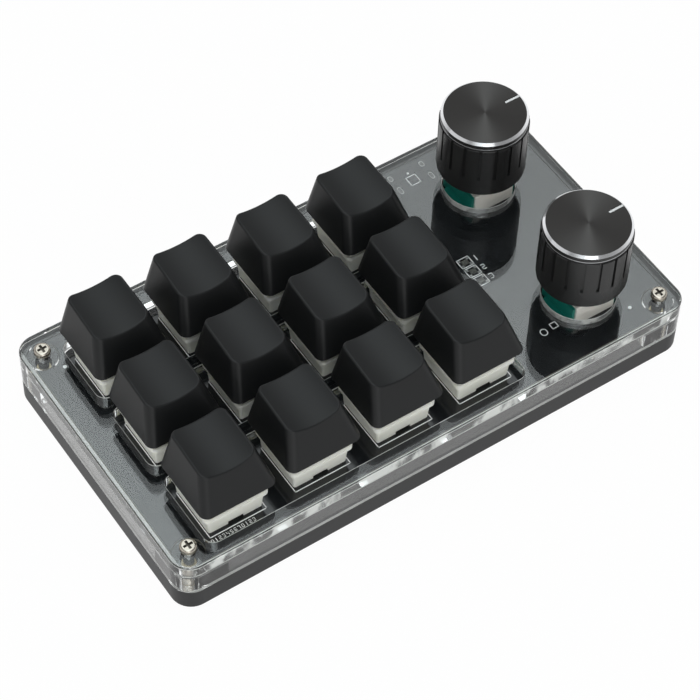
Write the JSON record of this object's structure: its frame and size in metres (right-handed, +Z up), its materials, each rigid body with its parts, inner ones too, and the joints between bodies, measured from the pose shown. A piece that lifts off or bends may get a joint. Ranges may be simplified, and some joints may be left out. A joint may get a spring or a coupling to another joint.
{
  "type": "macro keypad",
  "caption": "Low desk keypad: a clear plate over a circuit board, rows of sprung sculpted keys and a column of fluted knobs that turn and push.",
  "frame": {"origin": "middle of the plan, at the level where the feet stand", "axes": "+X to the right along the key rows, +Y to the back, +Z up along the key travel"},
  "size_m": [0.1314, 0.0706, 0.0378],
  "materials": {
    "clear_acrylic": "polished, clear",
    "base_plastic": "fine matte, near black",
    "board_laminate": "glossy black lacquer with white print",
    "foot_rubber": "matte",
    "nickel_steel": "nickel plated",
    "insert_brass": "turned",
    "socket_steel": "drawn",
    "chip_plastic": "matte",
    "light_plastic": "milky",
    "switch_plastic": "milky white",
    "encoder_plastic": "satin blue green",
    "bracket_steel": "tinned",
    "bushing_zinc": "cast and threaded",
    "spring_steel": "bright wire",
    "stem_plastic": "moulded",
    "cap_plastic": "fine matte, near black",
    "rotor_plastic": "moulded",
    "shaft_aluminium": "turned",
    "knob_aluminium": "black anodised, bright cut rim"
  },
  "bodies": {
    "case": {"top_plate": "clear_acrylic", "clear_frame": "clear_acrylic", "base_shell": "base_plastic", "circuit_board": "board_laminate", "rubber_feet": "foot_rubber", "cover_screws": "nickel_steel", "threaded_inserts": "insert_brass", "lead_socket": "socket_steel", "controller_chip": "chip_plastic", "matrix_diodes": "chip_plastic", "key_lights": "light_plastic", "indicator_lights": "light_plastic", "contact_pins": "insert_brass", "switch_lower_housings": "switch_plastic", "switch_upper_housings": "switch_plastic", "encoder_bases": "encoder_plastic", "encoder_brackets": "bracket_steel", "encoder_bushings": "bushing_zinc", "key_spring_1": "spring_steel", "key_spring_2": "spring_steel", "key_spring_3": "spring_steel", "key_spring_4": "spring_steel", "key_spring_5": "spring_steel", "key_spring_6": "spring_steel", "key_spring_7": "spring_steel", "key_spring_8": "spring_steel", "key_spring_9": "spring_steel", "key_spring_10": "spring_steel", "key_spring_11": "spring_steel", "key_spring_12": "spring_steel"},
    "key_1": {"key_stem_1": "stem_plastic", "key_cap_1": "cap_plastic"},
    "key_2": {"key_stem_2": "stem_plastic", "key_cap_2": "cap_plastic"},
    "key_3": {"key_stem_3": "stem_plastic", "key_cap_3": "cap_plastic"},
    "key_4": {"key_stem_4": "stem_plastic", "key_cap_4": "cap_plastic"},
    "key_5": {"key_stem_5": "stem_plastic", "key_cap_5": "cap_plastic"},
    "key_6": {"key_stem_6": "stem_plastic", "key_cap_6": "cap_plastic"},
    "key_7": {"key_stem_7": "stem_plastic", "key_cap_7": "cap_plastic"},
    "key_8": {"key_stem_8": "stem_plastic", "key_cap_8": "cap_plastic"},
    "key_9": {"key_stem_9": "stem_plastic", "key_cap_9": "cap_plastic"},
    "key_10": {"key_stem_10": "stem_plastic", "key_cap_10": "cap_plastic"},
    "key_11": {"key_stem_11": "stem_plastic", "key_cap_11": "cap_plastic"},
    "key_12": {"key_stem_12": "stem_plastic", "key_cap_12": "cap_plastic"},
    "dial_1": {"encoder_rotor_1": "rotor_plastic"},
    "knob_push_1": {"encoder_shaft_1": "shaft_aluminium", "knob_1": "knob_aluminium"},
    "dial_2": {"encoder_rotor_2": "rotor_plastic"},
    "knob_push_2": {"encoder_shaft_2": "shaft_aluminium", "knob_2": "knob_aluminium"}
  },
  "joints": [
    {"name": "key_1_press", "type": "slide", "parent": "case", "child": "key_1", "axis": [0, 0, -1], "range_m": [0, 0.0038], "stiffness_N_per_m": 80, "springref_m": -0.00375, "deforming": ["key_spring_1"]},
    {"name": "key_2_press", "type": "slide", "parent": "case", "child": "key_2", "axis": [0, 0, -1], "range_m": [0, 0.0038], "stiffness_N_per_m": 80, "springref_m": -0.00375, "deforming": ["key_spring_2"]},
    {"name": "key_3_press", "type": "slide", "parent": "case", "child": "key_3", "axis": [0, 0, -1], "range_m": [0, 0.0038], "stiffness_N_per_m": 80, "springref_m": -0.00375, "deforming": ["key_spring_3"]},
    {"name": "key_4_press", "type": "slide", "parent": "case", "child": "key_4", "axis": [0, 0, -1], "range_m": [0, 0.0038], "stiffness_N_per_m": 80, "springref_m": -0.00375, "deforming": ["key_spring_4"]},
    {"name": "key_5_press", "type": "slide", "parent": "case", "child": "key_5", "axis": [0, 0, -1], "range_m": [0, 0.0038], "stiffness_N_per_m": 80, "springref_m": -0.00375, "deforming": ["key_spring_5"]},
    {"name": "key_6_press", "type": "slide", "parent": "case", "child": "key_6", "axis": [0, 0, -1], "range_m": [0, 0.0038], "stiffness_N_per_m": 80, "springref_m": -0.00375, "deforming": ["key_spring_6"]},
    {"name": "key_7_press", "type": "slide", "parent": "case", "child": "key_7", "axis": [0, 0, -1], "range_m": [0, 0.0038], "stiffness_N_per_m": 80, "springref_m": -0.00375, "deforming": ["key_spring_7"]},
    {"name": "key_8_press", "type": "slide", "parent": "case", "child": "key_8", "axis": [0, 0, -1], "range_m": [0, 0.0038], "stiffness_N_per_m": 80, "springref_m": -0.00375, "deforming": ["key_spring_8"]},
    {"name": "key_9_press", "type": "slide", "parent": "case", "child": "key_9", "axis": [0, 0, -1], "range_m": [0, 0.0038], "stiffness_N_per_m": 80, "springref_m": -0.00375, "deforming": ["key_spring_9"]},
    {"name": "key_10_press", "type": "slide", "parent": "case", "child": "key_10", "axis": [0, 0, -1], "range_m": [0, 0.0038], "stiffness_N_per_m": 80, "springref_m": -0.00375, "deforming": ["key_spring_10"]},
    {"name": "key_11_press", "type": "slide", "parent": "case", "child": "key_11", "axis": [0, 0, -1], "range_m": [0, 0.0038], "stiffness_N_per_m": 80, "springref_m": -0.00375, "deforming": ["key_spring_11"]},
    {"name": "key_12_press", "type": "slide", "parent": "case", "child": "key_12", "axis": [0, 0, -1], "range_m": [0, 0.0038], "stiffness_N_per_m": 80, "springref_m": -0.00375, "deforming": ["key_spring_12"]},
    {"name": "dial_1_turn", "type": "hinge", "parent": "case", "child": "dial_1", "pos_m": [0.04707, 0.01905, 0.0119], "axis": [0, 0, 1], "continuous": true},
    {"name": "knob_1_press", "type": "slide", "parent": "dial_1", "child": "knob_push_1", "axis": [0, 0, -1], "range_m": [0, 0.0005], "stiffness_N_per_m": 3000, "springref_m": -0.0005},
    {"name": "dial_2_turn", "type": "hinge", "parent": "case", "child": "dial_2", "pos_m": [0.04707, -0.01905, 0.0119], "axis": [0, 0, 1], "continuous": true},
    {"name": "knob_2_press", "type": "slide", "parent": "dial_2", "child": "knob_push_2", "axis": [0, 0, -1], "range_m": [0, 0.0005], "stiffness_N_per_m": 3000, "springref_m": -0.0005}
  ]
}
